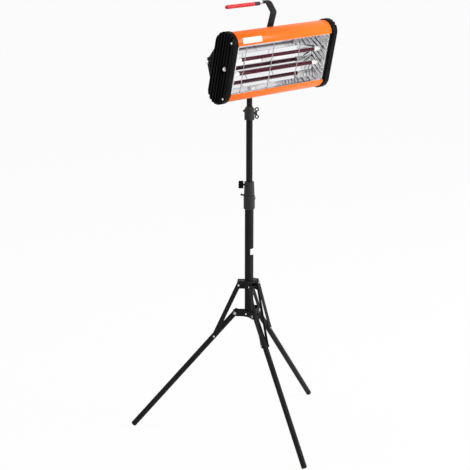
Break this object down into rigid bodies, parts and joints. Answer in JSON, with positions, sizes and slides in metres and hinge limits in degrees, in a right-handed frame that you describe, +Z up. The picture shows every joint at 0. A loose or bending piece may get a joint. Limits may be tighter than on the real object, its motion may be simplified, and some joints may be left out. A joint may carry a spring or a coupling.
{
  "type": "infrared paint curing lamp on a tripod stand",
  "caption": "Twin-tube infrared curing lamp with an orange housing and ribbed black end caps, tilting on a yoke on a telescopic column with a folding tripod base.",
  "frame": {"origin": "on the floor, under the axis of the column", "axes": "+Z up along the column; the lamp faces -Y; +X runs along the lamp's long side, towards the end on the right for someone who looks into the lamp"},
  "size_m": [0.6831, 0.7116, 1.5146],
  "materials": {
    "orange_enamel": "gloss",
    "black_casting": "satin",
    "black_enamel": "satin",
    "black_plastic": "satin",
    "polished_aluminium": "polished",
    "chrome": "polished",
    "zinc_steel": "satin",
    "ruby_quartz": "gloss",
    "white_ceramic": "satin",
    "red_grip": "satin"
  },
  "bodies": {
    "stand": {"lower_tube": "black_enamel", "lower_hub": "black_enamel", "coupler_base": "black_plastic", "coupler_clamp": "black_plastic", "coupler_pin": "zinc_steel", "coupler_screw": "zinc_steel", "leg_rivet_front": "zinc_steel", "leg_rivet_right": "zinc_steel", "leg_rivet_left": "zinc_steel"},
    "knob": {"clamp_knob": "black_plastic"},
    "fold_hub": {"upper_hub": "black_enamel"},
    "strut_front": {"strut_pair_front": "black_enamel"},
    "strut_right": {"strut_pair_right": "black_enamel"},
    "strut_left": {"strut_pair_left": "black_enamel"},
    "front_leg": {"leg_front": "black_enamel", "leg_plug_front": "black_plastic"},
    "right_leg": {"leg_right": "black_enamel", "leg_plug_right": "black_plastic"},
    "left_leg": {"leg_left": "black_enamel", "leg_plug_left": "black_plastic"},
    "middle_mast": {"middle_tube": "black_enamel", "middle_tube_bush": "black_plastic", "top_collar": "black_plastic", "collar_rivet": "zinc_steel"},
    "wing": {"wing_screw": "zinc_steel"},
    "top_mast": {"top_tube": "black_enamel"},
    "yoke": {"yoke": "black_enamel", "tilt_bolt_left": "chrome", "tilt_bolt_right": "chrome", "tilt_washer_left": "black_plastic", "tilt_washer_right": "black_plastic"},
    "head": {"cable_gland": "black_plastic", "cap_bolt_left": "chrome", "cap_bolt_right": "chrome", "cap_screw_lower_left": "chrome", "cap_screw_lower_right": "chrome", "cap_screw_upper_left": "chrome", "cap_screw_upper_right": "chrome", "end_cap_left": "black_casting", "end_cap_right": "black_casting", "guard_wire_1": "chrome", "guard_wire_2": "chrome", "guard_wire_3": "chrome", "handle_collar": "black_plastic", "handle_grip": "red_grip", "handle_rod": "chrome", "handle_strip": "black_enamel", "housing": "orange_enamel", "lamp_holder_lower_left": "white_ceramic", "lamp_holder_lower_right": "white_ceramic", "lamp_holder_upper_left": "white_ceramic", "lamp_holder_upper_right": "white_ceramic", "pivot_plate_left": "black_enamel", "pivot_plate_right": "black_enamel", "quartz_lamp_lower": "ruby_quartz", "quartz_lamp_upper": "ruby_quartz", "reflector": "polished_aluminium", "reflector_end_left": "polished_aluminium", "reflector_end_right": "polished_aluminium", "terminal_block": "white_ceramic"}
  },
  "joints": [
    {"name": "fold_slide", "type": "slide", "parent": "stand", "child": "fold_hub", "axis": [0, 0, 1], "range_m": [0, 0.215]},
    {"name": "leg_swing_front", "type": "hinge", "parent": "stand", "child": "front_leg", "pos_m": [-0.01609, -0.04544, 0.4275], "axis": [-0.9426, 0.3338, 0], "range_deg": [0, 139.6]},
    {"name": "leg_swing_right", "type": "hinge", "parent": "stand", "child": "right_leg", "pos_m": [0.04739, 0.00878, 0.4275], "axis": [0.1822, -0.9833, 0], "range_deg": [0, 139.6]},
    {"name": "leg_swing_left", "type": "hinge", "parent": "stand", "child": "left_leg", "pos_m": [-0.0313, 0.03665, 0.4275], "axis": [0.7604, 0.6494, 0], "range_deg": [0, 139.6]},
    {"name": "strut_swing_front", "type": "hinge", "parent": "fold_hub", "child": "strut_front", "pos_m": [-0.01163, -0.03285, 0.5307], "axis": [-0.9426, 0.3338, 0], "range_deg": [-21, 0]},
    {"name": "strut_swing_right", "type": "hinge", "parent": "fold_hub", "child": "strut_right", "pos_m": [0.03427, 0.00635, 0.5307], "axis": [0.1822, -0.9833, 0], "range_deg": [-21, 0]},
    {"name": "strut_swing_left", "type": "hinge", "parent": "fold_hub", "child": "strut_left", "pos_m": [-0.02263, 0.0265, 0.5307], "axis": [0.7604, 0.6494, 0], "range_deg": [-21, 0]},
    {"name": "middle_slide", "type": "slide", "parent": "stand", "child": "middle_mast", "axis": [0, 0, 1], "range_m": [-0.15, 0.18]},
    {"name": "top_slide", "type": "slide", "parent": "middle_mast", "child": "top_mast", "axis": [0, 0, 1], "range_m": [-0.045, 0.15]},
    {"name": "pan", "type": "hinge", "parent": "top_mast", "child": "yoke", "pos_m": [0, 0, 1.32], "axis": [0, 0, 1], "continuous": true},
    {"name": "tilt", "type": "hinge", "parent": "yoke", "child": "head", "pos_m": [0, -0.042, 1.328], "axis": [-1, 0, 0], "range_deg": [-17.7, 100]},
    {"name": "knob_turn", "type": "hinge", "parent": "stand", "child": "knob", "pos_m": [-0.01382, 0.01446, 0.8825], "axis": [-0.6909, 0.723, 0], "continuous": true},
    {"name": "wing_turn", "type": "hinge", "parent": "middle_mast", "child": "wing", "pos_m": [0.01382, -0.01446, 1.1287], "axis": [0.6909, -0.723, 0], "continuous": true}
  ],
  "couplings": [
    {"joint": "leg_swing_front", "follows": "fold_slide", "rad_per_m": 11.316},
    {"joint": "leg_swing_right", "follows": "fold_slide", "rad_per_m": 11.316},
    {"joint": "leg_swing_left", "follows": "fold_slide", "rad_per_m": 11.316},
    {"joint": "strut_swing_front", "follows": "fold_slide", "rad_per_m": -1.6946},
    {"joint": "strut_swing_right", "follows": "fold_slide", "rad_per_m": -1.6946},
    {"joint": "strut_swing_left", "follows": "fold_slide", "rad_per_m": -1.6946}
  ]
}
